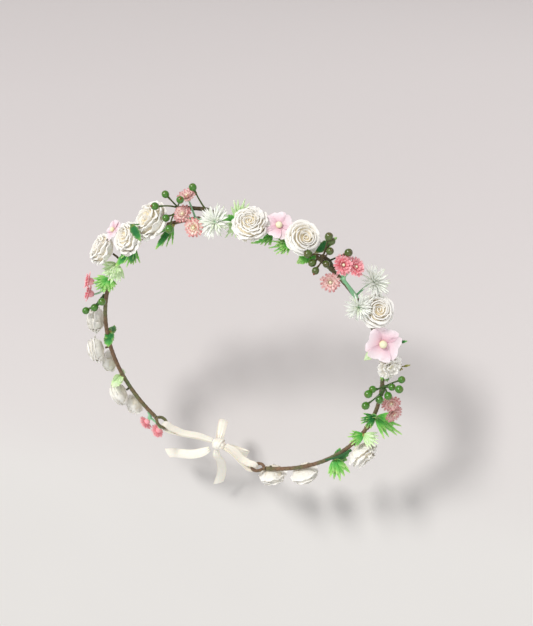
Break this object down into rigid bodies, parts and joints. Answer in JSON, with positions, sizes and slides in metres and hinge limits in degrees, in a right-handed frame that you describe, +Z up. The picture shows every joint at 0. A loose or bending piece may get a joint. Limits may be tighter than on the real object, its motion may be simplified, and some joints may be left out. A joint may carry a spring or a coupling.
{
  "type": "flower crown",
  "caption": "Open circlet of taped wire set with paper roses, blossoms, daisies, berries and leaves, tied at the back with a satin ribbon.",
  "frame": {"origin": "middle of the circlet in the plane of its wire, where the head goes", "axes": "+Z up as worn, -Y the front, +Y the tie at the back, +X the wearer's left"},
  "size_m": [0.2001, 0.2228, 0.0459],
  "materials": {
    "wire": "bare galvanised florist's wire",
    "paper_tape": "brown crepe florist's tape, matt",
    "white_paper": "off-white mulberry paper, matt",
    "pink_paper": "pale pink mulberry paper, matt",
    "white_plastic": "translucent white, faint green tips",
    "coral_plastic": "coral pink moulded plastic",
    "dusty_plastic": "dusty pink moulded plastic",
    "green_berry": "bright green lacquered berry",
    "olive_berry": "dark olive lacquered berry",
    "leaf_green": "leaf green moulded plastic",
    "pale_leaf": "pale yellow-green moulded plastic",
    "satin": "ivory satin ribbon"
  },
  "bodies": {
    "front": {"wire_front": "wire", "paper_tape_front": "paper_tape", "rose_01": "white_paper", "rose_02": "white_paper", "rose_03": "white_paper", "rose_04": "white_paper", "rose_05": "white_paper", "rose_06": "white_paper", "pink_blossom_1": "pink_paper", "pink_blossom_2": "pink_paper", "pink_blossom_3": "pink_paper", "white_blossom": "white_paper", "spiky_flower_1": "white_plastic", "spiky_flower_2": "white_plastic", "spiky_flower_3": "white_plastic", "daisy_pick_1": "dusty_plastic", "daisy_pick_2": "coral_plastic", "daisy_pick_4": "dusty_plastic", "berry_spray_1": "green_berry", "berry_spray_2": "olive_berry", "berry_spray_3": "green_berry", "leaf_sprig_01": "leaf_green", "leaf_sprig_02": "leaf_green", "leaf_sprig_03": "pale_leaf", "leaf_sprig_07": "pale_leaf", "leaf_sprig_08": "leaf_green", "leaf_sprig_09": "leaf_green", "leaf_sprig_10": "leaf_green", "leaf_sprig_11": "leaf_green", "leaf_sprig_14": "leaf_green", "leaf_sprig_15": "leaf_green", "ribbon_strand_left": "satin", "ribbon_strand_right": "satin", "ribbon_knot": "satin", "bow_loop_left": "satin", "bow_loop_right": "satin", "ribbon_tail_left": "satin", "ribbon_tail_right": "satin"},
    "left_arm": {"wire_left": "wire", "paper_tape_left": "paper_tape", "wire_eye_left": "paper_tape", "rose_10": "white_paper", "rose_11": "white_paper", "rose_12": "white_paper", "rose_13": "white_paper", "rose_14": "white_paper", "daisy_pick_3": "coral_plastic", "daisy_pick_5": "coral_plastic", "berry_spray_4": "green_berry", "leaf_sprig_04": "leaf_green", "leaf_sprig_05": "leaf_green", "leaf_sprig_06": "pale_leaf"},
    "right_arm": {"wire_right": "wire", "paper_tape_right": "paper_tape", "wire_eye_right": "paper_tape", "rose_07": "white_paper", "rose_08": "white_paper", "rose_09": "white_paper", "leaf_sprig_12": "pale_leaf", "leaf_sprig_13": "pale_leaf"}
  },
  "joints": [
    {"name": "left_arm_flex", "type": "hinge", "parent": "front", "child": "left_arm", "pos_m": [0.08265, -0.01757, 0], "axis": [0, 0, 1], "range_deg": [-6, 6], "deforming": ["ribbon_strand_left"]},
    {"name": "right_arm_flex", "type": "hinge", "parent": "front", "child": "right_arm", "pos_m": [-0.08309, 0.0154, 0], "axis": [0, 0, -1], "range_deg": [-6, 6], "deforming": ["ribbon_strand_right"]}
  ]
}
